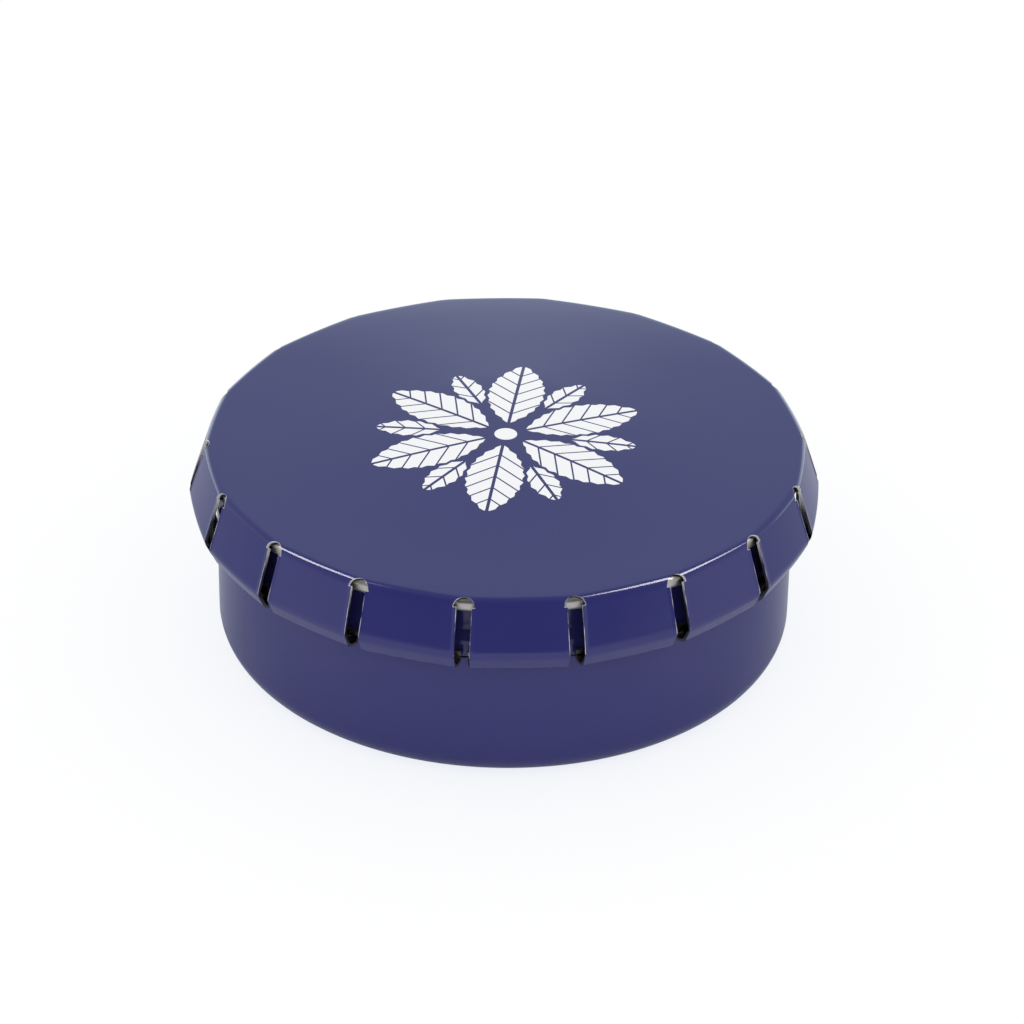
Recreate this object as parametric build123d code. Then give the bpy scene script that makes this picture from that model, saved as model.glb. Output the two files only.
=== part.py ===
from build123d import *
from math import cos, radians, sin, sqrt, tan
import os

# Round press-to-open tin: a drawn cup with a rolled rim, and a lid whose skirt is slit into spring
# claws. Pressing the middle of the domed lid inwards splays the claws, and the lid lifts off.
# Millimetres, +Z up, origin at the centre of the ring that the tin stands on. A slit faces -Y.
# The lid is one pressing. Its domed panel, its ring and its claws flex against each other, so each
# of them is a solid of its own, with a hairline seam between them.

# Sheet and clearances
sheet = 0.23                   # lacquered tinplate
seam_gap = 0.06                # between neighbouring flexing zones of the lid
lid_rest_gap = 0.07            # between the rolled rim and the lid that rests on it
overrun = 1.0                  # how far a cut runs past what it cuts

# Base cup
body_radius = 22.92
cup_height = 16.35             # to the top of the rolled rim
base_corner_radius = 2.1
standing_ring_width = 1.0
floor_raise = 0.40             # the floor panel stands this far above the standing ring
floor_step_run = 0.55
floor_step_bend = 0.45
neck_depth = 0.44              # the wall steps in by this much to make room for the rolled rim
neck_length = 0.95
neck_drop = 3.10               # from the top of the rim down to the end of the neck
neck_bend = 0.9
rim_curl_height = 1.10
rim_curl_lean = 0.06           # the roll widens downwards, like the skirt around it
rim_curl_bend_share = 0.35     # of the roll's width
rim_curl_edge_gap = 0.30       # between the roll's edge and the wall, more than the sheet

# Lid
skirt_overhang = 2.08          # from the cup's wall out to the corners of the claws
skirt_rim_gap = 0.32           # between the skirt and the bottom of the rolled rim
shoulder_bend = 0.60
dome_rim_gap = 1.95            # from the neck of the cup in to the edge of the dome
dome_rise = 0.45

# Claws
claw_count = 18
claw_bow = 0.13                # how far a claw bows out from the chord between its corners
flare_angle = 18.0             # slope of the upper claw from upright
flank_angle = 25.0             # slope of the claw back in, below its knuckle
knuckle_drop = 4.30            # from the top of the margin down to the knuckle
knuckle_bend = 1.0
flank_height = 1.53            # from the knuckle down to the bottom of the claw
toe_bend_share = 0.54          # of the claw's run across its bottom
toe_return = 0.40              # straight end of the turned-in toe
toe_wall_gap = 0.17            # between the toes and the wall of the cup
hinge_below_bend = 0.255       # the claws flex this far below the shoulder's bend
slot_width = 1.16
slot_end_widening = 0.26       # how far a slit's punched end reaches past the slit's side
slot_end_tilt = 36.0           # direction of the punched end above level
slot_taper_inset = 0.50        # the slits narrow from this far inside the knuckle
toe_slot_width = 0.26          # between neighbouring toes, drawn together as they turn in

# Cup, worked out
inner_wall = body_radius - sheet
inner_neck = inner_wall - neck_depth

# Lid, worked out
half_pitch = 180.0 / claw_count
lid_radius = body_radius + skirt_overhang
margin_height = cup_height + lid_rest_gap + sheet
dome_radius = inner_neck - dome_rim_gap
knuckle_height = margin_height - knuckle_drop
claw_bottom_height = knuckle_height - flank_height

# Claws, worked out: each is a slice of a wide drum, whose radius gives it its bow
corner_half = lid_radius * sin(radians(half_pitch)) - slot_width / 2
claw_radius = sqrt(lid_radius**2 - corner_half**2) + claw_bow
bow_radius = (corner_half**2 + claw_bow**2) / (2 * claw_bow)
bow_centre = claw_radius - bow_radius

# Corners of the lid's outside line half way along a claw
half_turn = radians(flare_angle + flank_angle) / 2
half_lean = radians(flare_angle - flank_angle) / 2
knuckle_radius = claw_radius + knuckle_bend * (cos(half_lean) / cos(half_turn) - 1)
shoulder_radius = knuckle_radius - knuckle_drop * tan(radians(flare_angle))
claw_bottom_radius = knuckle_radius - flank_height * tan(radians(flank_angle))

# The line where the claws flex, on the outside of the skirt
shoulder_trim = shoulder_bend * tan(radians(90 - flare_angle) / 2)
hinge_height = margin_height - shoulder_trim * cos(radians(flare_angle)) - hinge_below_bend


def pressed(outline):
    """Closed section of one sheet, from one of its faces. The sheet lies on the line's right."""
    section = offset(outline, amount=sheet, side=Side.RIGHT, closed=True)
    return make_face(Plane.XZ * section)


def flare_point(height):
    """Point of the skirt's straight flare at a height, on its outside, half way along a claw."""
    return shoulder_radius + (margin_height - height) * tan(radians(flare_angle)), height


def base_cup():
    """The cup, drawn along its inner face and on round the rolled rim."""
    ring_edge = body_radius - base_corner_radius - standing_ring_width
    neck_end = cup_height - neck_drop
    curl_bottom = cup_height - rim_curl_height
    skirt_inside = flare_point(curl_bottom)[0] - sheet / cos(radians(flare_angle))
    curl_edge = skirt_inside - skirt_rim_gap
    curl_bend = rim_curl_bend_share * (curl_edge - inner_neck)
    points = [
        (0, floor_raise + sheet),
        (ring_edge - floor_step_run, floor_raise + sheet),
        (ring_edge, sheet),
        (inner_wall, sheet),
        (inner_wall, neck_end - neck_length),
        (inner_neck, neck_end),
        (inner_neck, cup_height),
        (curl_edge - rim_curl_lean, cup_height),
        (curl_edge, curl_bottom),
        (inner_neck + sheet + rim_curl_edge_gap, curl_bottom),
    ]
    floor_bends = [floor_step_bend, floor_step_bend, base_corner_radius - sheet]
    wall_bends = [neck_bend, neck_bend, curl_bend, curl_bend, curl_bend]
    outline = FilletPolyline(points, radius=floor_bends + wall_bends)
    return revolve(pressed(outline), Axis.Z)


def lid_snap_panel():
    """The domed middle of the lid, which snaps inwards when it is pressed."""
    dome_curve = (dome_radius**2 + dome_rise**2) / (2 * dome_rise)
    top = (0, margin_height + dome_rise)
    edge = (dome_radius, margin_height)
    return revolve(pressed(RadiusArc(top, edge, dome_curve)), Axis.Z)


def sector_wedge():
    """The space of one claw and its share of the rim, half a pitch to each side."""
    reach = (lid_radius + overrun) / cos(radians(half_pitch))
    side = Vector(reach, 0).rotate(Axis.Z, half_pitch)
    outline = make_face(Polyline((0, 0), (side.X, -side.Y), (side.X, side.Y), close=True))
    height = margin_height - claw_bottom_height + 2 * overrun
    return extrude(Pos(0, 0, claw_bottom_height - overrun) * outline, height)


def bowed_sector(outline):
    """One sector of the lid's rim: its section turned about the axis that gives a claw its bow."""
    bow_axis = Axis((bow_centre, 0, 0), (0, 0, 1))
    section = pressed(outline).rotate(bow_axis, -half_pitch)
    return revolve(section, bow_axis, 2 * half_pitch) & sector_wedge()


def upper_slit(azimuth):
    """Cutter for the parallel sides of a slit, from the knuckle up to where the claws flex."""
    start = flare_point(hinge_height)[0] - overrun
    run = lid_radius + overrun - start
    rise = hinge_height - knuckle_height + overrun
    anchor = (Align.MIN, Align.CENTER, Align.MIN)
    channel = Box(run, slot_width, rise, align=anchor)
    return Rot(0, 0, azimuth) * Pos(start, 0, knuckle_height) * channel


def lower_slit(azimuth):
    """Cutter for the same slit below the knuckle, where it narrows from the flank to the toes."""
    reach = lid_radius + overrun
    taper = knuckle_radius - slot_taper_inset
    toe = body_radius + toe_wall_gap
    side = [(reach, slot_width / 2), (taper, slot_width / 2), (toe, toe_slot_width / 2), (0, 0)]
    outline = make_face(Polyline(side + [(x, -y) for x, y in reversed(side[:-1])], close=True))
    rise = knuckle_height - claw_bottom_height + overrun
    return Rot(0, 0, azimuth) * Pos(0, 0, knuckle_height) * extrude(outline, -rise)


def slit_end(azimuth):
    """Cutter for the punched round end of a slit, in the shoulder above where the claws flex."""
    middle = flare_point(hinge_height)[0] - bow_centre
    across = bow_centre * sin(radians(half_pitch))
    corner = bow_centre * cos(radians(half_pitch)) + sqrt(middle**2 - across**2)
    punch = Cylinder(slot_width / 2 + slot_end_widening, 2 * overrun)
    tilted = Pos(corner, 0, hinge_height) * Rot(0, 90 - slot_end_tilt, 0) * punch
    return Rot(0, 0, azimuth) * tilted


def lid_ring():
    """Margin and shoulder of the lid, one piece all round, ending where the claws flex."""
    outline = FilletPolyline(
        (dome_radius + seam_gap - overrun, margin_height),
        (shoulder_radius, margin_height),
        flare_point(hinge_height),
        radius=[shoulder_bend],
    )
    sector = bowed_sector(outline)
    sectors = [Rot(0, 0, 2 * half_pitch * count) * sector for count in range(claw_count)]
    middle = Pos(0, 0, margin_height) * Cylinder(dome_radius + seam_gap, 2 * overrun)
    ends = [slit_end(half_pitch * (2 * count + 1)) for count in range(claw_count)]
    return sectors[0].fuse(*sectors[1:]) - middle - ends


def claw():
    """One spring claw at azimuth 0: flare, knuckle, flank and a toe turned in and up."""
    toe = body_radius + toe_wall_gap
    toe_bend = toe_bend_share * (claw_bottom_radius - toe)
    outline = FilletPolyline(
        flare_point(hinge_height - seam_gap * cos(radians(flare_angle))),
        (knuckle_radius, knuckle_height),
        (claw_bottom_radius, claw_bottom_height),
        (toe, claw_bottom_height),
        (toe, claw_bottom_height + toe_bend + toe_return),
        radius=[knuckle_bend, toe_bend, toe_bend],
    )
    slits = [cut(side) for cut in (upper_slit, lower_slit) for side in (half_pitch, -half_pitch)]
    return bowed_sector(outline) - slits


def main():
    os.makedirs("parts", exist_ok=True)
    export_step(base_cup(), "parts/base_cup.step")
    export_step(lid_snap_panel(), "parts/lid_snap_panel.step")
    export_step(lid_ring(), "parts/lid_ring.step")
    one_claw = claw()
    for count in range(claw_count):
        turned = Rot(0, 0, 2 * half_pitch * count) * one_claw
        export_step(turned, f"parts/claw_{count + 1:02d}.step")


main()
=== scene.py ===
import math

import bmesh
import bpy
from mathutils import Matrix, Vector


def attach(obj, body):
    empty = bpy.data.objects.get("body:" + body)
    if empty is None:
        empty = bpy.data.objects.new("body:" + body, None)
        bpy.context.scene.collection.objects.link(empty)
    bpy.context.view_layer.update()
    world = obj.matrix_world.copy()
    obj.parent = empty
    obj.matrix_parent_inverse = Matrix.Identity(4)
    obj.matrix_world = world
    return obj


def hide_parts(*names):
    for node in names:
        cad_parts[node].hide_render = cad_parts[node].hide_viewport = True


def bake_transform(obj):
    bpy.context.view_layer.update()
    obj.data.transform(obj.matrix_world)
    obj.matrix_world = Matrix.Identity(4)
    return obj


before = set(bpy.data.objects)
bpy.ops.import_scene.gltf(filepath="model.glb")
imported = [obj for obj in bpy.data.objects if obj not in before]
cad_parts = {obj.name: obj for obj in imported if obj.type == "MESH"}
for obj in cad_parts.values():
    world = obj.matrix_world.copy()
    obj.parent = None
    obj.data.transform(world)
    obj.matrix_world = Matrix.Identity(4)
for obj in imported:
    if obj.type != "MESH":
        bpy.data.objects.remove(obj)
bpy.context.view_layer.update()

# A press-to-open tin of lacquered tinplate. Sizes are in millimetres and become metres through MM.
MM = 0.001
MERGE = 0.001 * MM

# Sheet, cup and rolled rim, as in the solids
SHEET = 0.23
BODY_RADIUS = 22.92
CUP_HEIGHT = 16.35
BASE_CORNER_RADIUS = 2.1
STANDING_RING_WIDTH = 1.0
FLOOR_RAISE = 0.40
FLOOR_STEP_RUN = 0.55
FLOOR_STEP_BEND = 0.45
NECK_DEPTH = 0.44
NECK_LENGTH = 0.95
NECK_DROP = 3.10
NECK_BEND = 0.9
CURL_EDGE = 23.414
CURL_HEIGHT = 1.10
CURL_LEAN = 0.06
CURL_BEND = 0.407
CURL_RETURN = 0.53

# Lid
LID_RADIUS = 25.0
MARGIN_HEIGHT = 16.65
DOME_RADIUS = 20.30
DOME_RISE = 0.45
DOME_EASE_RADIUS = 229.0
DOME_MIDDLE = 9.0
SHOULDER_BEND = 0.60

# Claws
CLAW_COUNT = 18
CLAW_BOW = 0.13
FLARE_ANGLE = 18.0
FLANK_ANGLE = 25.0
KNUCKLE_HEIGHT = 12.35
KNUCKLE_BEND = 1.0
CLAW_BOTTOM = 10.82
TOE_RADIUS = 23.09
TOE_BEND = 0.60
TOE_RETURN = 0.40
HINGE_HEIGHT = 15.98
FLEX_LENGTH = 0.9
SLOT_WIDTH = 1.16
SLOT_END_RADIUS = 0.84
SLOT_END_TILT = 36.0
TOE_SLOT_WIDTH = 0.26
TAPER_RADIUS = 24.418
PUNCH_LENGTH = 2.0
OVERRUN = 1.0
# Width of the pale band beside the slits: chipped enamel, partly a painted highlight
CHIP_AND_GLINT_WIDTH = 0.06
TURN_UP_WIDTH = 0.35
TURN_UP_HEIGHT = 0.05

# Where the margin, round at its inner edge, has taken the bow of the claws
ROUND_UP_TO = 22.4
BOWED_FROM = 22.95

HALF_PITCH = 180.0 / CLAW_COUNT
CORNER_HALF = LID_RADIUS * math.sin(math.radians(HALF_PITCH)) - SLOT_WIDTH / 2
CLAW_RADIUS = math.sqrt(LID_RADIUS**2 - CORNER_HALF**2) + CLAW_BOW
BOW_RADIUS = (CORNER_HALF**2 + CLAW_BOW**2) / (2 * CLAW_BOW)
BOW_CENTRE = BOW_RADIUS - CLAW_RADIUS

# Corners of the lid's outside line half way along a claw
HALF_TURN = math.radians(FLARE_ANGLE + FLANK_ANGLE) / 2
HALF_LEAN = math.radians(FLARE_ANGLE - FLANK_ANGLE) / 2
KNUCKLE_RADIUS = CLAW_RADIUS + KNUCKLE_BEND * (math.cos(HALF_LEAN) / math.cos(HALF_TURN) - 1)
FLARE_SLOPE = math.tan(math.radians(FLARE_ANGLE))
SHOULDER_RADIUS = KNUCKLE_RADIUS - (MARGIN_HEIGHT - KNUCKLE_HEIGHT) * FLARE_SLOPE
FLANK_RUN = (KNUCKLE_HEIGHT - CLAW_BOTTOM) * math.tan(math.radians(FLANK_ANGLE))
HINGE_RADIUS = SHOULDER_RADIUS + (MARGIN_HEIGHT - HINGE_HEIGHT) * FLARE_SLOPE

# How finely the pressings are divided
ROUND_STEPS = 216
CLAW_STEPS = 12
ARC_STEPS = 14
MIDDLE_STEPS = 20
WEB_STEPS = 22
EASE_STEPS = 8
PUNCH_SIDES = 48
LONGEST_RUN = 0.3
SHARP_ANGLE = 35.0

# The leaf print. Each kind of leaf has its start, its end and half its width.
LEAF_COUNT = 6
LARGE_LEAF = (1.6, 11.6, 2.3)
SMALL_LEAF = (5.0, 10.6, 1.2)
EYE_RADIUS = 0.9
NOTCH_LENGTH = 0.5
NOTCH_DEPTH_SHARE = 0.35
RIB_HALF_WIDTH = 0.13
VEIN_SLANT = 0.9
VEIN_SPACING = 0.8
VEIN_HALF_WIDTH = 0.09

# The camera, fitted to the outline of the tin in the photograph
CAMERA_AZIMUTH = 6.941
CAMERA_ELEVATION = 31.554
CAMERA_DISTANCE = 329.73
CAMERA_ROLL = 0.857
AIM_RIGHT = 0.583
AIM_HEIGHT = 9.868
LENS = 145.08
SENSOR = 36.0

# The white sweep, with its shares of red, green and blue light
FLOOR_SIZE = 3000.0
FLOOR_GAP = 0.02
SWEEP_FALLS_FROM = -22.92
SWEEP_FALLS_TO = -5.73
SWEEP_PAPER = (0.93, 0.93, 0.93, 1)
SWEEP_SHADED = (0.21, 0.18, 0.12, 1)
SWEEP_WHITE = (0.80, 0.83, 0.89, 1)
SWEEP_GLOW = (0.07, 0.07, 0.07, 1)

# The tent and the rear card. Levels are pairs of a place along a ramp and how bright it is there.
TENT_RADIUS = 900.0
TENT_SIDES = 48
TENT_STRENGTH = 1.35
TENT_RISE_LEVELS = [(0.0, 1.0), (0.40, 0.92), (0.60, 0.42), (1.0, 0.36)]
TENT_DEPTH_LEVELS = [(0.0, 0.02), (0.12, 0.06), (0.35, 0.45), (0.65, 0.70), (1.0, 1.0)]
CARD_DISTANCE = 48.0
CARD_WIDTH = 300.0
CARD_HEIGHT = 120.0
CARD_STRENGTH = 2.0
CARD_LEVELS = [
    (0.0, 1.0), (0.25, 1.0), (0.275, 0.6), (0.3, 0.44), (0.38, 0.41), (0.5, 0.38), (1.0, 0.3)
]

# The soft boxes: azimuth and elevation seen from the tin, width, height and watts
BOX_DISTANCE = 420.0
LEFT_BOX = (-92, 54, 103, 210, 1.3)
RIGHT_BOX = (88, 55, 180, 210, 2.3)


# Shapes

def turn_about(shape, start, centre, axis, angle, steps):
    """Draws an arc on from a point by spinning it, and gives the point where the arc ends."""
    spun = bmesh.ops.spin(shape, geom=[start], cent=centre, axis=axis, angle=angle, steps=steps)
    return next(item for item in spun["geom_last"] if isinstance(item, bmesh.types.BMVert))


def bend_line(shape, corners, bends):
    """A wire in the XZ plane through the corners, with every inner corner rounded to its bend."""
    points = [Vector((x, 0, z)) * MM for x, z in corners]
    last = shape.verts.new(points[0])
    for index, bend in enumerate(bends, start=1):
        before = (points[index] - points[index - 1]).normalized()
        after = (points[index + 1] - points[index]).normalized()
        turn = before.angle(after)
        axis = before.cross(after).normalized()
        start = shape.verts.new(points[index] - before * bend * MM * math.tan(turn / 2))
        shape.edges.new((last, start))
        centre = start.co + axis.cross(before) * bend * MM
        steps = max(2, round(math.degrees(turn) / 90 * ARC_STEPS))
        last = turn_about(shape, start, centre, axis, turn, steps)
    shape.edges.new((last, shape.verts.new(points[-1])))


def divide_straights(shape, longest):
    """Cuts the long straight runs of a line, so that a bend or a blend has rows to move."""
    for edge in list(shape.edges):
        cuts = math.ceil(edge.calc_length() / (longest * MM)) - 1
        if cuts > 0:
            bmesh.ops.subdivide_edges(shape, edges=[edge], cuts=cuts)


def sweep(shape, degrees, steps):
    """Turns a line about the tin's own axis: all the way round, or over a sector about azimuth 0."""
    full = degrees == 360
    if not full:
        back = Matrix.Rotation(math.radians(-degrees / 2), 3, "Z")
        bmesh.ops.rotate(shape, verts=shape.verts, matrix=back)
    geometry = shape.verts[:] + shape.edges[:]
    turn = math.radians(degrees)
    bmesh.ops.spin(shape, geom=geometry, axis=(0, 0, 1), angle=turn, steps=steps, use_merge=full)
    bmesh.ops.remove_doubles(shape, verts=shape.verts, dist=MERGE)


def face_towards(shape, point, direction):
    """Makes all faces look one way, chosen so that the face nearest to the point looks as told."""
    bmesh.ops.recalc_face_normals(shape, faces=shape.faces)
    place = Vector(point) * MM
    nearest = min(shape.faces, key=lambda face: (face.calc_center_median() - place).length)
    if nearest.normal.dot(Vector(direction)) < 0:
        bmesh.ops.reverse_faces(shape, faces=shape.faces)


def bowed_radius(radius, azimuth):
    """Distance from the tin's axis of the bowed surface that has this radius at a claw's middle."""
    across = BOW_CENTRE * math.sin(azimuth)
    return math.sqrt((radius + BOW_CENTRE) ** 2 - across**2) - BOW_CENTRE * math.cos(azimuth)


def bow(shape):
    """Moves points in, so that each sector bows like a claw instead of lying on the round."""
    pitch = math.radians(2 * HALF_PITCH)
    for vert in shape.verts:
        radius = vert.co.xy.length / MM
        azimuth = math.atan2(vert.co.y, vert.co.x)
        azimuth -= pitch * round(azimuth / pitch)
        share = min(1, max(0, (radius - ROUND_UP_TO) / (BOWED_FROM - ROUND_UP_TO)))
        if share > 0:
            moved = radius + share * (bowed_radius(radius, azimuth) - radius)
            vert.co.xy = vert.co.xy * (moved / radius)


def as_object(name, shape, finishes):
    mesh = bpy.data.meshes.new(name)
    shape.to_mesh(mesh)
    shape.free()
    for finish in finishes:
        mesh.materials.append(finish)
    piece = bpy.data.objects.new(name, mesh)
    bpy.context.scene.collection.objects.link(piece)
    return piece


def punches(azimuths, finish):
    """The cutters that leave the round ends of the slits."""
    shape = bmesh.new()
    reach = bowed_radius(HINGE_RADIUS, math.radians(HALF_PITCH))
    place = Matrix.Translation(Vector((reach, 0, HINGE_HEIGHT)) * MM)
    tilt = Matrix.Rotation(math.radians(90 - SLOT_END_TILT), 4, "Y")
    for azimuth in azimuths:
        bmesh.ops.create_cone(
            shape,
            cap_ends=True,
            segments=PUNCH_SIDES,
            radius1=SLOT_END_RADIUS * MM,
            radius2=SLOT_END_RADIUS * MM,
            depth=PUNCH_LENGTH * MM,
            matrix=Matrix.Rotation(math.radians(azimuth), 4, "Z") @ place @ tilt,
        )
    return as_object("punches", shape, [finish])


def shears(name, side, bottom, top, finish):
    """Cutters for the two slits beside a claw, from half their outline at azimuth 0."""
    outline = side + [(x, -y) for x, y in reversed(side)]
    shape = bmesh.new()
    for azimuth in (HALF_PITCH, -HALF_PITCH):
        turn = Matrix.Rotation(math.radians(azimuth), 3, "Z")
        base = shape.faces.new(shape.verts.new(turn @ Vector((x, y, bottom)) * MM) for x, y in outline)
        grown = bmesh.ops.extrude_face_region(shape, geom=[base])["geom"]
        raised = [item for item in grown if isinstance(item, bmesh.types.BMVert)]
        bmesh.ops.translate(shape, verts=raised, vec=(0, 0, (top - bottom) * MM))
    bmesh.ops.recalc_face_normals(shape, faces=shape.faces)
    return as_object(name, shape, [finish])


def pressing(name, shape, finishes, cutters=()):
    """Gives a surface its sheet thickness on the back, cuts it, and keeps the finished mesh."""
    piece = as_object(name, shape, finishes)
    wall = piece.modifiers.new("sheet", "SOLIDIFY")
    wall.thickness = SHEET * MM
    wall.offset = -1
    wall.use_even_offset = True
    wall.material_offset = 1
    wall.material_offset_rim = 2
    for cutter in cutters:
        cut = piece.modifiers.new(cutter.name, "BOOLEAN")
        cut.operation = "DIFFERENCE"
        cut.solver = "EXACT"
        cut.material_mode = "TRANSFER"
        cut.object = cutter
    seen = piece.evaluated_get(bpy.context.evaluated_depsgraph_get())
    mesh = bpy.data.meshes.new_from_object(seen)
    mesh.name = name
    piece.modifiers.clear()
    for cutter in cutters:
        bpy.data.objects.remove(cutter)
    piece.data = mesh
    mesh.shade_smooth()
    mesh.set_sharp_from_angle(angle=math.radians(SHARP_ANGLE))
    return piece


def turned_copy(piece, name, azimuth):
    """The same piece further round the tin, with the turn in its mesh."""
    mesh = piece.data.copy()
    mesh.transform(Matrix.Rotation(math.radians(azimuth), 4, "Z"))
    mesh.name = name
    copy = bpy.data.objects.new(name, mesh)
    bpy.context.scene.collection.objects.link(copy)
    return copy


def around(radius, azimuth, height):
    """A point in metres from its distance to the tin's axis, its azimuth and its height."""
    turn = math.radians(azimuth)
    return Vector((radius * math.cos(turn), radius * math.sin(turn), height)) * MM


# Finishes

def colour(code):
    """Linear values of an sRGB hex colour, with full alpha."""
    levels = [int(code[place:place + 2], 16) / 255 for place in (1, 3, 5)]
    linear = [v / 12.92 if v <= 0.04045 else ((v + 0.055) / 1.055) ** 2.4 for v in levels]
    return (*linear, 1)


def add(tree, kind, inputs=(), **settings):
    """Adds a node. Its inputs are values, nodes or outputs, by socket name or in socket order."""
    node = tree.nodes.new(kind)
    for name, value in settings.items():
        setattr(node, name, value)
    given = inputs.items() if isinstance(inputs, dict) else enumerate(inputs)
    for socket, value in given:
        source = value.outputs[0] if isinstance(value, bpy.types.Node) else value
        if isinstance(source, bpy.types.NodeSocket):
            tree.links.new(source, node.inputs[socket])
        else:
            node.inputs[socket].default_value = source
    return node


def new_finish(name):
    material = bpy.data.materials.new(name)
    material.use_nodes = True
    material.node_tree.nodes.clear()
    return material, material.node_tree


def per_metre(size):
    """Scale of a noise whose features are this many millimetres across."""
    return 1 / (size * MM)


def leaf_ring(tree, far, turn, phase, start, end, half_width):
    """1 in a ring of pointed leaves with notched edges and open veins, 0 outside. Millimetres."""
    half_length = (end - start) / 2
    sink = (half_length**2 - half_width**2) / (2 * half_width)
    shifted = add(tree, "ShaderNodeMath", [turn, phase], operation="ADD")
    folded = add(tree, "ShaderNodeMath", [shifted, math.pi / LEAF_COUNT], operation="PINGPONG")
    cosine = add(tree, "ShaderNodeMath", [folded], operation="COSINE")
    sine = add(tree, "ShaderNodeMath", [folded], operation="SINE")
    along = add(tree, "ShaderNodeMath", [far, cosine], operation="MULTIPLY")
    across = add(tree, "ShaderNodeMath", [far, sine], operation="MULTIPLY")
    from_middle = add(tree, "ShaderNodeMath", [along, (start + end) / 2], operation="SUBTRACT")
    from_sink = add(tree, "ShaderNodeMath", [across, sink], operation="ADD")
    offset = add(tree, "ShaderNodeCombineXYZ", [from_middle, from_sink])
    reach = add(tree, "ShaderNodeVectorMath", [offset], operation="LENGTH").outputs["Value"]
    notch = add(tree, "ShaderNodeMath", [along, NOTCH_LENGTH], operation="PINGPONG")
    notched = add(tree, "ShaderNodeMath", [notch, NOTCH_DEPTH_SHARE, reach], operation="MULTIPLY_ADD")
    inside = add(tree, "ShaderNodeMath", [notched, sink + half_width], operation="LESS_THAN")
    beside_rib = add(tree, "ShaderNodeMath", [across, RIB_HALF_WIDTH], operation="GREATER_THAN")
    slanted = add(tree, "ShaderNodeMath", [across, -VEIN_SLANT, along], operation="MULTIPLY_ADD")
    vein = add(tree, "ShaderNodeMath", [slanted, VEIN_SPACING], operation="PINGPONG")
    beside_vein = add(tree, "ShaderNodeMath", [vein, VEIN_HALF_WIDTH], operation="GREATER_THAN")
    blade = add(tree, "ShaderNodeMath", [inside, beside_rib], operation="MULTIPLY")
    return add(tree, "ShaderNodeMath", [blade, beside_vein], operation="MULTIPLY")


def leaf_print(tree, place):
    """1 where the lid's generic leaf print lies, 0 elsewhere."""
    scaled = add(tree, "ShaderNodeVectorMath", {0: place, "Scale": 1 / MM}, operation="SCALE")
    flat = add(tree, "ShaderNodeVectorMath", [scaled, (1, 1, 0)], operation="MULTIPLY")
    far = add(tree, "ShaderNodeVectorMath", [flat], operation="LENGTH").outputs["Value"]
    split = add(tree, "ShaderNodeSeparateXYZ", [scaled])
    turn = add(tree, "ShaderNodeMath", [split.outputs["X"], split.outputs["Y"]], operation="ARCTAN2")
    large = leaf_ring(tree, far, turn, 0.0, *LARGE_LEAF)
    small = leaf_ring(tree, far, turn, math.pi / LEAF_COUNT, *SMALL_LEAF)
    both = add(tree, "ShaderNodeMath", [large, small], operation="MAXIMUM")
    eye = add(tree, "ShaderNodeMath", [far, EYE_RADIUS], operation="LESS_THAN")
    return add(tree, "ShaderNodeMath", [both, eye], operation="MAXIMUM")


def slit_distances(tree, place):
    """Millimetres from a slit's side, above the knuckle only, and from its side or round end."""
    scaled = add(tree, "ShaderNodeVectorMath", {0: place, "Scale": 1 / MM}, operation="SCALE")
    flat = add(tree, "ShaderNodeVectorMath", [scaled, (1, 1, 0)], operation="MULTIPLY")
    far = add(tree, "ShaderNodeVectorMath", [flat], operation="LENGTH").outputs["Value"]
    split = add(tree, "ShaderNodeSeparateXYZ", [scaled])
    height = split.outputs["Z"]
    turn = add(tree, "ShaderNodeMath", [split.outputs["Y"], split.outputs["X"]], operation="ARCTAN2")
    folded = add(tree, "ShaderNodeMath", [turn, math.radians(HALF_PITCH)], operation="PINGPONG")
    aside = add(tree, "ShaderNodeMath", [math.radians(HALF_PITCH), folded], operation="SUBTRACT")
    cosine = add(tree, "ShaderNodeMath", [aside], operation="COSINE")
    sine = add(tree, "ShaderNodeMath", [aside], operation="SINE")
    along = add(tree, "ShaderNodeMath", [far, cosine], operation="MULTIPLY")
    across = add(tree, "ShaderNodeMath", [far, sine], operation="MULTIPLY")
    below = add(tree, "ShaderNodeMath", [height, KNUCKLE_HEIGHT], operation="LESS_THAN")
    from_side = add(tree, "ShaderNodeMath", [across, SLOT_WIDTH / 2], operation="SUBTRACT")
    above = add(tree, "ShaderNodeMath", [height, HINGE_HEIGHT], operation="GREATER_THAN")
    beyond = add(tree, "ShaderNodeMath", [below, above], operation="ADD")
    side = add(tree, "ShaderNodeMath", [from_side, beyond], operation="ADD")
    tilt = math.radians(SLOT_END_TILT)
    reach = bowed_radius(HINGE_RADIUS, math.radians(HALF_PITCH))
    level = reach * math.sin(tilt) - HINGE_HEIGHT * math.cos(tilt)
    outward = add(tree, "ShaderNodeMath", [along, math.sin(tilt), -level], operation="MULTIPLY_ADD")
    off = add(tree, "ShaderNodeMath", [height, -math.cos(tilt), outward], operation="MULTIPLY_ADD")
    from_axis = add(tree, "ShaderNodeCombineXYZ", [across, off])
    radius = add(tree, "ShaderNodeVectorMath", [from_axis], operation="LENGTH").outputs["Value"]
    ring = add(tree, "ShaderNodeMath", [radius, SLOT_END_RADIUS], operation="SUBTRACT")
    either = add(tree, "ShaderNodeMix", {"Factor": above, "A": side, "B": ring})
    return side, either


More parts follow.
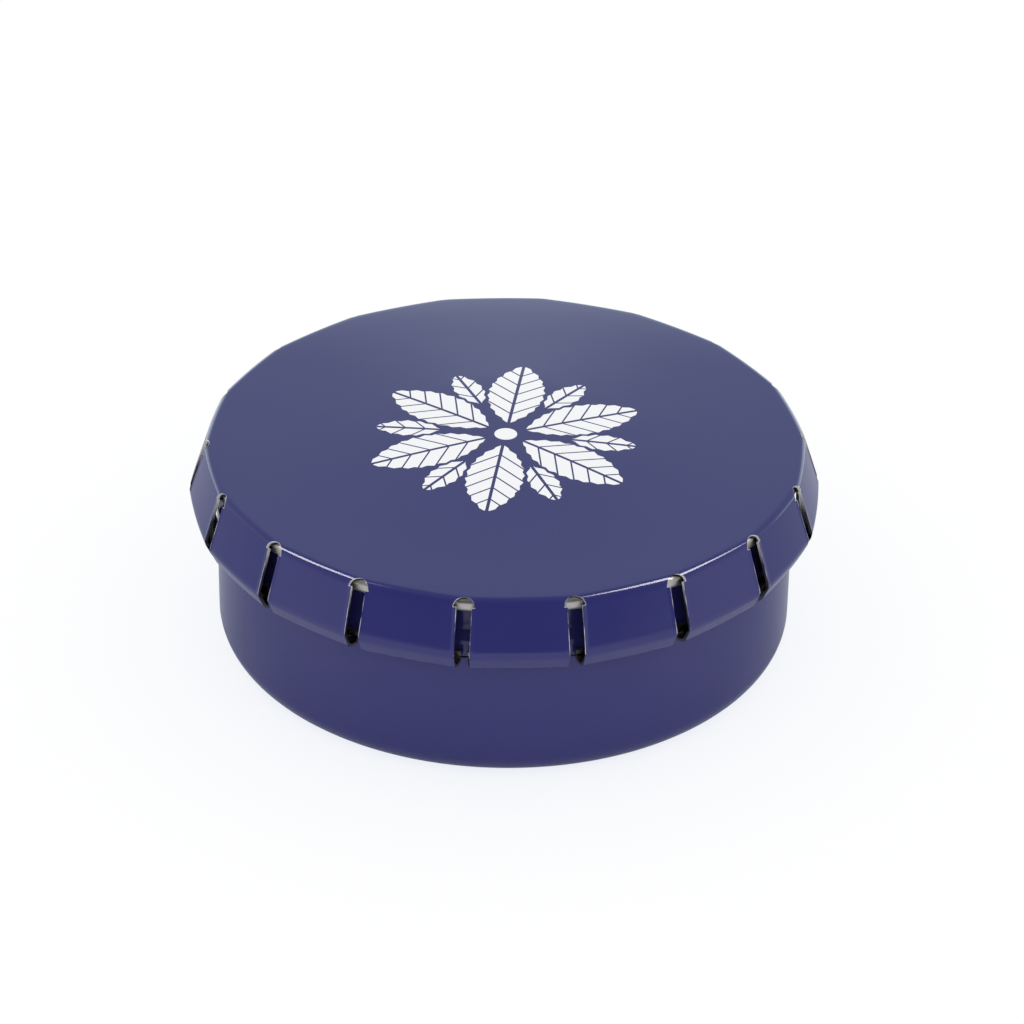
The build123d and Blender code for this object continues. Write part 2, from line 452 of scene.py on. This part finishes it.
def gloss_lacquer(name, printed=False, sheared=False):
    """Stoved enamel on tinplate: deep even blue under a wet gloss, with the faintest orange peel."""
    material, tree = new_finish(name)
    place = add(tree, "ShaderNodeTexCoord").outputs["Object"]
    cloud = add(tree, "ShaderNodeTexNoise", {"Vector": place, "Scale": per_metre(9.0), "Detail": 3.0})
    blue = add(
        tree,
        "ShaderNodeMix",
        {"Factor": cloud, "A": colour("#2A2B67"), "B": colour("#2D2E6B")},
        data_type="RGBA",
    )
    coat = blue.outputs["Result"]
    if printed:
        mask = leaf_print(tree, place)
        layers = {"Factor": mask, "A": coat, "B": colour("#F6F6F8")}
        coat = add(tree, "ShaderNodeMix", layers, data_type="RGBA").outputs["Result"]
    peel = add(tree, "ShaderNodeTexNoise", {"Vector": place, "Scale": per_metre(1.4), "Detail": 2.0})
    bump = add(tree, "ShaderNodeBump", {"Height": peel, "Strength": 0.12, "Distance": 0.004 * MM})
    haze = add(tree, "ShaderNodeTexNoise", {"Vector": place, "Scale": per_metre(3.0), "Detail": 4.0})
    gloss = add(tree, "ShaderNodeMapRange", {"Value": haze, "To Min": 0.10, "To Max": 0.16})
    if sheared:
        # Beside a slit the shears turned the edge up a little and chipped the enamel off it. The pale
        # band there is partly those chips and partly a painted highlight for the glints along the slit
        # edges.
        side, either = slit_distances(tree, place)
        patches = add(tree, "ShaderNodeTexNoise", {"Vector": place, "Scale": per_metre(1.2)})
        chip_and_glint_share = add(tree, "ShaderNodeMapRange", {"Value": patches, "From Min": 0.4, "From Max": 0.65})
        chip_and_glint_band = {"Value": either, "From Max": CHIP_AND_GLINT_WIDTH, "To Min": chip_and_glint_share, "To Max": 0.0}
        chips_and_painted_glint = add(tree, "ShaderNodeMapRange", chip_and_glint_band, interpolation_type="SMOOTHSTEP")
        # The near-white band: partly chipped enamel, partly a painted highlight along the slit edges
        layers = {"Factor": chips_and_painted_glint, "A": coat, "B": colour("#F0F0F6")}
        coat = add(tree, "ShaderNodeMix", layers, data_type="RGBA").outputs["Result"]
        raised = add(
            tree,
            "ShaderNodeMapRange",
            {"Value": side, "From Max": TURN_UP_WIDTH, "To Min": 1.0, "To Max": 0.0},
            interpolation_type="SMOOTHSTEP",
        )
        turned_up = {"Height": raised, "Normal": bump, "Distance": TURN_UP_HEIGHT * MM}
        bump = add(tree, "ShaderNodeBump", turned_up)
    shader = add(
        tree,
        "ShaderNodeBsdfPrincipled",
        {"Base Color": coat, "Roughness": gloss, "Normal": bump, "IOR": 1.42},
    )
    add(tree, "ShaderNodeOutputMaterial", [shader])
    return material


def bare_tinplate(name, dark, light):
    """Rolled tinplate: soft silver sheen, with fine grain along the way it was rolled."""
    material, tree = new_finish(name)
    place = add(tree, "ShaderNodeTexCoord").outputs["Object"]
    rolled = add(tree, "ShaderNodeMapping", {"Vector": place, "Scale": (1, 14, 14)})
    grain = add(tree, "ShaderNodeTexNoise", {"Vector": rolled, "Scale": per_metre(2.4), "Detail": 6.0})
    tone = add(
        tree,
        "ShaderNodeMix",
        {"Factor": grain, "A": colour(dark), "B": colour(light)},
        data_type="RGBA",
    )
    gloss = add(tree, "ShaderNodeMapRange", {"Value": grain, "To Min": 0.34, "To Max": 0.54})
    bump = add(tree, "ShaderNodeBump", {"Height": grain, "Strength": 0.2, "Distance": 0.003 * MM})
    shader = add(
        tree,
        "ShaderNodeBsdfPrincipled",
        {"Base Color": tone.outputs["Result"], "Roughness": gloss, "Normal": bump, "Metallic": 1.0},
    )
    add(tree, "ShaderNodeOutputMaterial", [shader])
    return material


def sheared_edge():
    """Edge of the sheet where it was cut: pale torn steel in fine steps, with painted shade darkening it
    towards the toes.
    """
    material, tree = new_finish("sheared_steel_edge")
    place = add(tree, "ShaderNodeTexCoord").outputs["Object"]
    height = add(tree, "ShaderNodeSeparateXYZ", [place]).outputs["Z"]
    clear_of_painted_shade = add(
        tree,
        "ShaderNodeMapRange",
        {
            "Value": height,
            "From Min": (HINGE_HEIGHT - 2 * FLEX_LENGTH) * MM,
            "From Max": HINGE_HEIGHT * MM,
        },
    )
    tear = add(tree, "ShaderNodeTexNoise", {"Vector": place, "Scale": per_metre(0.12), "Detail": 3.0})
    tone = add(
        tree,
        "ShaderNodeMix",
        {"Factor": tear, "A": colour("#C4C3C2"), "B": colour("#EDEBE8")},
        data_type="RGBA",
    )
    # Painted shade: downwards from the hinge line the edge darkens to #3C3B4C
    painted_shade_below = {"Factor": clear_of_painted_shade, "A": colour("#3C3B4C"), "B": tone.outputs["Result"]}
    tone = add(tree, "ShaderNodeMix", painted_shade_below, data_type="RGBA")
    gloss = add(tree, "ShaderNodeMapRange", {"Value": tear, "To Min": 0.4, "To Max": 0.6})
    bump = add(tree, "ShaderNodeBump", {"Height": tear, "Strength": 0.3, "Distance": 0.01 * MM})
    shader = add(
        tree,
        "ShaderNodeBsdfPrincipled",
        {"Base Color": tone.outputs["Result"], "Roughness": gloss, "Normal": bump, "Metallic": 0.2},
    )
    add(tree, "ShaderNodeOutputMaterial", [shader])
    return material


enamel = gloss_lacquer("blue_stoved_enamel")
# Enamel of the margin and claws, with chips and a painted highlight beside the slits
sheared_enamel = gloss_lacquer("blue_enamel_chipped_and_painted_glints_at_slits", sheared=True)
printed_enamel = gloss_lacquer("blue_enamel_white_print", printed=True)
tin = bare_tinplate("bright_tinplate", "#AAA7A1", "#CECBC5")
# The lid's inside: the same tinplate painted darker, as shade inside the lid
shaded_tin = bare_tinplate("tinplate_painted_darker_as_shade", "#6F6C67", "#95928C")
edge = sheared_edge()


# Pieces

def cup_shell():
    """The drawn cup: floor, wall, neck and the rolled rim, which shows the sheet's bare inside."""
    inner_wall = BODY_RADIUS - SHEET
    inner_neck = inner_wall - NECK_DEPTH
    ring_edge = BODY_RADIUS - BASE_CORNER_RADIUS - STANDING_RING_WIDTH
    neck_end = CUP_HEIGHT - NECK_DROP
    corners = [
        (0, FLOOR_RAISE + SHEET),
        (ring_edge - FLOOR_STEP_RUN, FLOOR_RAISE + SHEET),
        (ring_edge, SHEET),
        (inner_wall, SHEET),
        (inner_wall, neck_end - NECK_LENGTH),
        (inner_neck, neck_end),
        (inner_neck, CUP_HEIGHT),
        (CURL_EDGE - CURL_LEAN, CUP_HEIGHT),
        (CURL_EDGE, CUP_HEIGHT - CURL_HEIGHT),
        (inner_neck + CURL_RETURN, CUP_HEIGHT - CURL_HEIGHT),
    ]
    corner = BASE_CORNER_RADIUS - SHEET
    bends = [FLOOR_STEP_BEND, FLOOR_STEP_BEND, corner, NECK_BEND, NECK_BEND]
    shape = bmesh.new()
    bend_line(shape, corners, bends + [CURL_BEND] * 3)
    sweep(shape, 360, ROUND_STEPS)
    face_towards(shape, (0, 0, FLOOR_RAISE), (0, 0, 1))
    shell = pressing("cup_shell", shape, [tin, enamel, edge])
    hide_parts("base_cup")
    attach(shell, "cup")


def lid_margin():
    """Flat margin and rolled-over shoulder of the lid, down to the line where the claws flex."""
    corners = [
        (DOME_RADIUS, MARGIN_HEIGHT),
        (SHOULDER_RADIUS, MARGIN_HEIGHT),
        (HINGE_RADIUS, HINGE_HEIGHT),
    ]
    shape = bmesh.new()
    bend_line(shape, corners, [SHOULDER_BEND])
    divide_straights(shape, LONGEST_RUN)
    sweep(shape, 360, ROUND_STEPS)
    bow(shape)
    face_towards(shape, (DOME_RADIUS, 0, MARGIN_HEIGHT), (0, 0, 1))
    cutter = punches([HALF_PITCH * (2 * count + 1) for count in range(CLAW_COUNT)], edge)
    ring = pressing("lid_margin", shape, [sheared_enamel, shaded_tin, edge], [cutter])
    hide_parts("lid_ring")
    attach(ring, "lid")


def spring_claws():
    """The claws, which on the real lid flex over their tops, where they grow out of the shoulder."""
    corners = [
        (HINGE_RADIUS, HINGE_HEIGHT),
        (KNUCKLE_RADIUS, KNUCKLE_HEIGHT),
        (KNUCKLE_RADIUS - FLANK_RUN, CLAW_BOTTOM),
        (TOE_RADIUS, CLAW_BOTTOM),
        (TOE_RADIUS, CLAW_BOTTOM + TOE_BEND + TOE_RETURN),
    ]
    shape = bmesh.new()
    bend_line(shape, corners, [KNUCKLE_BEND, TOE_BEND, TOE_BEND])
    divide_straights(shape, LONGEST_RUN)
    sweep(shape, 2 * HALF_PITCH, CLAW_STEPS)
    bow(shape)
    face_towards(shape, (KNUCKLE_RADIUS, 0, KNUCKLE_HEIGHT), (1, 0, 0))
    reach = LID_RADIUS + OVERRUN
    straight = [(HINGE_RADIUS - OVERRUN, SLOT_WIDTH / 2), (reach, SLOT_WIDTH / 2)]
    tapered = [
        (TOE_RADIUS - OVERRUN, 0),
        (TOE_RADIUS, TOE_SLOT_WIDTH / 2),
        (TAPER_RADIUS, SLOT_WIDTH / 2),
        (reach, SLOT_WIDTH / 2),
    ]
    cutters = [
        shears("flare_slits", straight, KNUCKLE_HEIGHT, HINGE_HEIGHT + OVERRUN, edge),
        shears("toe_slits", tapered, CLAW_BOTTOM - OVERRUN, KNUCKLE_HEIGHT, edge),
    ]
    pattern = pressing("spring_claw", shape, [sheared_enamel, shaded_tin, edge], cutters)
    for count in range(CLAW_COUNT):
        azimuth = 2 * HALF_PITCH * count
        claw = turned_copy(pattern, f"spring_claw_{count + 1:02d}", azimuth)
        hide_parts(f"claw_{count + 1:02d}")
        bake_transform(claw)
    bpy.data.objects.remove(pattern)


def domed_middle():
    """The dome: a middle that moves with the press, and webs between it and the margin, which flex on
    the real lid.
    """
    half_angle = math.atan(DOME_RISE / DOME_RADIUS)
    whole_angle = 2 * half_angle
    both_radii = DOME_RADIUS / math.sin(whole_angle)
    dome_curve = both_radii - DOME_EASE_RADIUS
    top = Vector((0, 0, MARGIN_HEIGHT + DOME_RISE))
    centre = top - Vector((0, 0, dome_curve))
    ease_centre = centre + Vector((math.sin(whole_angle), 0, math.cos(whole_angle))) * both_radii
    middle_angle = math.asin(DOME_MIDDLE / dome_curve)

    shape = bmesh.new()
    start = shape.verts.new(top * MM)
    turn_about(shape, start, centre * MM, (0, 1, 0), middle_angle, MIDDLE_STEPS)
    sweep(shape, 360, ROUND_STEPS)
    face_towards(shape, top, (0, 0, 1))
    middle = pressing("dome_middle", shape, [printed_enamel, shaded_tin, edge])
    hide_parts("lid_snap_panel")
    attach(middle, "snap_panel")

    shape = bmesh.new()
    rim_of_middle = centre + Matrix.Rotation(middle_angle, 3, "Y") @ (top - centre)
    start = shape.verts.new(rim_of_middle * MM)
    rest = whole_angle - middle_angle
    eased = turn_about(shape, start, centre * MM, (0, 1, 0), rest, WEB_STEPS)
    turn_about(shape, eased, ease_centre * MM, (0, 1, 0), -whole_angle, EASE_STEPS)
    sweep(shape, 2 * HALF_PITCH, CLAW_STEPS)
    face_towards(shape, rim_of_middle, (0, 0, 1))
    pattern = pressing("dome_web", shape, [printed_enamel, shaded_tin, edge])
    still = DOME_RADIUS * math.cos(math.radians(HALF_PITCH))
    for count in range(CLAW_COUNT):
        azimuth = 2 * HALF_PITCH * count
        web = turned_copy(pattern, f"dome_web_{count + 1:02d}", azimuth)
        start = around(still, azimuth, MARGIN_HEIGHT)
        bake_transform(web)
    bpy.data.objects.remove(pattern)


# Studio

def from_camera_side(azimuth, elevation, distance):
    """A place seen from the tin: azimuth 0 is towards the camera, 90 is to the camera's right."""
    turn = math.radians(azimuth + CAMERA_AZIMUTH)
    rise = math.radians(elevation)
    level = math.cos(rise)
    return Vector((level * math.sin(turn), -level * math.cos(turn), math.sin(rise))) * distance * MM


def add_camera():
    azimuth = math.radians(CAMERA_AZIMUTH)
    aim = Vector((AIM_RIGHT * math.cos(azimuth), AIM_RIGHT * math.sin(azimuth), AIM_HEIGHT)) * MM
    data = bpy.data.cameras.new("camera")
    data.lens = LENS
    data.sensor_width = SENSOR
    camera = bpy.data.objects.new("camera", data)
    bpy.context.scene.collection.objects.link(camera)
    back = from_camera_side(0, CAMERA_ELEVATION, CAMERA_DISTANCE)
    look = (-back).to_track_quat("-Z", "Y").to_matrix().to_4x4()
    roll = Matrix.Rotation(math.radians(CAMERA_ROLL), 4, "Z")
    camera.matrix_world = Matrix.Translation(aim + back) @ look @ roll
    bpy.context.scene.camera = camera


def pale_floor():
    """White paper sweep under the tin. It keeps the tin's shadow, and to the camera it is white.

    To the gloss of the tin it is palest in front, and it falls off towards the back; that fall-off is
    painted shade.
    """
    material, tree = new_finish("white_paper_sweep")
    path = add(tree, "ShaderNodeLightPath")
    seen = [path.outputs[f"Is {kind} Ray"] for kind in ("Camera", "Glossy", "Transmission")]
    sharp = add(tree, "ShaderNodeMath", [seen[0], seen[1]], operation="ADD")
    any_seen = add(tree, "ShaderNodeMath", [sharp, seen[2]], operation="ADD", use_clamp=True)
    paper = add(tree, "ShaderNodeBsdfDiffuse", {"Color": SWEEP_PAPER})
    place = add(tree, "ShaderNodeTexCoord").outputs["Object"]
    turn = {"Vector": place, "Rotation": (0, 0, math.radians(-CAMERA_AZIMUTH))}
    depth = add(tree, "ShaderNodeSeparateXYZ", [add(tree, "ShaderNodeMapping", turn)]).outputs["Y"]
    behind = add(
        tree,
        "ShaderNodeMapRange",
        {"Value": depth, "From Min": SWEEP_FALLS_FROM * MM, "From Max": SWEEP_FALLS_TO * MM},
    )
    # Painted shade: to the gloss the sweep darkens from #F3F5FF in front to #BDC2D0 behind the tin
    painted_falloff = add(
        tree,
        "ShaderNodeMix",
        {"Factor": behind, "A": colour("#F3F5FF"), "B": colour("#BDC2D0")},
        data_type="RGBA",
    )
    sweep_in_gloss = add(tree, "ShaderNodeBsdfDiffuse", {"Color": painted_falloff.outputs["Result"]})
    shaded = add(tree, "ShaderNodeBsdfDiffuse", {"Color": SWEEP_SHADED})
    white = add(tree, "ShaderNodeEmission", {"Color": SWEEP_WHITE, "Strength": 1.0})
    to_camera = add(tree, "ShaderNodeAddShader", [shaded, white])
    glow = add(tree, "ShaderNodeEmission", {"Color": SWEEP_GLOW, "Strength": 1.0})
    to_gloss = add(tree, "ShaderNodeAddShader", [sweep_in_gloss, glow])
    bright = add(tree, "ShaderNodeMixShader", [seen[1], to_camera, to_gloss])
    mixed = add(tree, "ShaderNodeMixShader", [any_seen, paper, bright])
    add(tree, "ShaderNodeOutputMaterial", [mixed])
    shape = bmesh.new()
    place = Matrix.Translation((0, 0, -FLOOR_GAP * MM))
    bmesh.ops.create_grid(shape, x_segments=2, y_segments=2, size=FLOOR_SIZE / 2 * MM, matrix=place)
    floor = as_object("floor", shape, [material])


def studio_tent():
    """What the gloss sees: pale cloth low behind the tin and at its sides, and dark in front."""
    material, tree = new_finish("studio_tent")
    place = add(tree, "ShaderNodeTexCoord").outputs["Object"]
    turned = add(
        tree,
        "ShaderNodeMapping",
        {"Vector": place, "Rotation": (0, 0, math.radians(-CAMERA_AZIMUTH))},
    )
    way = add(tree, "ShaderNodeVectorMath", [turned], operation="NORMALIZE")
    split = add(tree, "ShaderNodeSeparateXYZ", [way])
    rise = add(tree, "ShaderNodeValToRGB", [split.outputs["Z"]])
    depth = add(
        tree,
        "ShaderNodeMapRange",
        {"Value": split.outputs["Y"], "From Min": -1.0, "From Max": 1.0},
    )
    behind = add(tree, "ShaderNodeValToRGB", [depth])
    set_ramp(rise, TENT_RISE_LEVELS)
    set_ramp(behind, TENT_DEPTH_LEVELS)
    both = [rise.outputs["Color"], behind.outputs["Color"]]
    level = add(tree, "ShaderNodeMath", both, operation="MULTIPLY")
    strength = add(tree, "ShaderNodeMath", [level, TENT_STRENGTH], operation="MULTIPLY")
    glow = add(tree, "ShaderNodeEmission", {"Color": (1, 1, 1, 1), "Strength": strength})
    add(tree, "ShaderNodeOutputMaterial", [glow])
    shape = bmesh.new()
    bmesh.ops.create_uvsphere(
        shape, u_segments=TENT_SIDES, v_segments=TENT_SIDES // 2, radius=TENT_RADIUS * MM
    )
    stage_for_gloss(as_object("studio_tent", shape, [material]))


def rear_card():
    """A pale card close behind the tin, brightest low down, that only the gloss of the lid sees."""
    material, tree = new_finish("rear_card")
    place = add(tree, "ShaderNodeTexCoord").outputs["Object"]
    split = add(tree, "ShaderNodeSeparateXYZ", [place])
    height = add(tree, "ShaderNodeMath", [split.outputs["Z"], CARD_HEIGHT * MM], operation="DIVIDE")
    level = add(tree, "ShaderNodeValToRGB", [height])
    set_ramp(level, CARD_LEVELS)
    strength = add(tree, "ShaderNodeMath", [level.outputs["Color"], CARD_STRENGTH], operation="MULTIPLY")
    glow = add(tree, "ShaderNodeEmission", {"Color": colour("#F3FFFF"), "Strength": strength})
    add(tree, "ShaderNodeOutputMaterial", [glow])
    shape = bmesh.new()
    turn = Matrix.Rotation(math.radians(CAMERA_AZIMUTH), 3, "Z")
    half = CARD_WIDTH / 2
    corners = [(-half, 0), (half, 0), (half, CARD_HEIGHT), (-half, CARD_HEIGHT)]
    shape.faces.new(shape.verts.new(turn @ Vector((x, CARD_DISTANCE, z)) * MM) for x, z in corners)
    stage_for_gloss(as_object("rear_card", shape, [material]))


def stage_for_gloss(card):
    """Keeps a part of the studio out of everything but reflections."""
    card.visible_camera = False
    card.visible_diffuse = False
    card.visible_transmission = False
    card.visible_shadow = False


def set_ramp(ramp, stops):
    """Grey levels of a ramp, as places along it and the level at each."""
    elements = ramp.color_ramp.elements
    while len(elements) > 1:
        elements.remove(elements[-1])
    elements[0].position = stops[0][0]
    elements[0].color = (*[stops[0][1]] * 3, 1)
    for position, level in stops[1:]:
        elements.new(position).color = (*[level] * 3, 1)


def soft_box(name, azimuth, elevation, width, height, watts):
    """A soft box that only the gloss sees, for the bright line along the shoulder."""
    data = bpy.data.lights.new(name, "AREA")
    data.shape = "RECTANGLE"
    data.size = width * MM
    data.size_y = height * MM
    data.energy = watts
    light = bpy.data.objects.new(name, data)
    light.visible_diffuse = False
    bpy.context.scene.collection.objects.link(light)
    light.location = from_camera_side(azimuth, elevation, BOX_DISTANCE)
    light.rotation_euler = light.location.to_track_quat("Z", "Y").to_euler()


def light_studio():
    world = bpy.data.worlds.new("pale_studio")
    world.use_nodes = True
    world.node_tree.nodes["Background"].inputs["Color"].default_value = (1, 1, 1, 1)
    world.node_tree.nodes["Background"].inputs["Strength"].default_value = 1.0
    bpy.context.scene.world = world
    bpy.context.scene.view_settings.view_transform = "Standard"
    pale_floor()
    studio_tent()
    rear_card()
    soft_box("left_box", *LEFT_BOX)
    soft_box("right_box", *RIGHT_BOX)


cup_shell()
lid_margin()
spring_claws()
domed_middle()
add_camera()
light_studio()
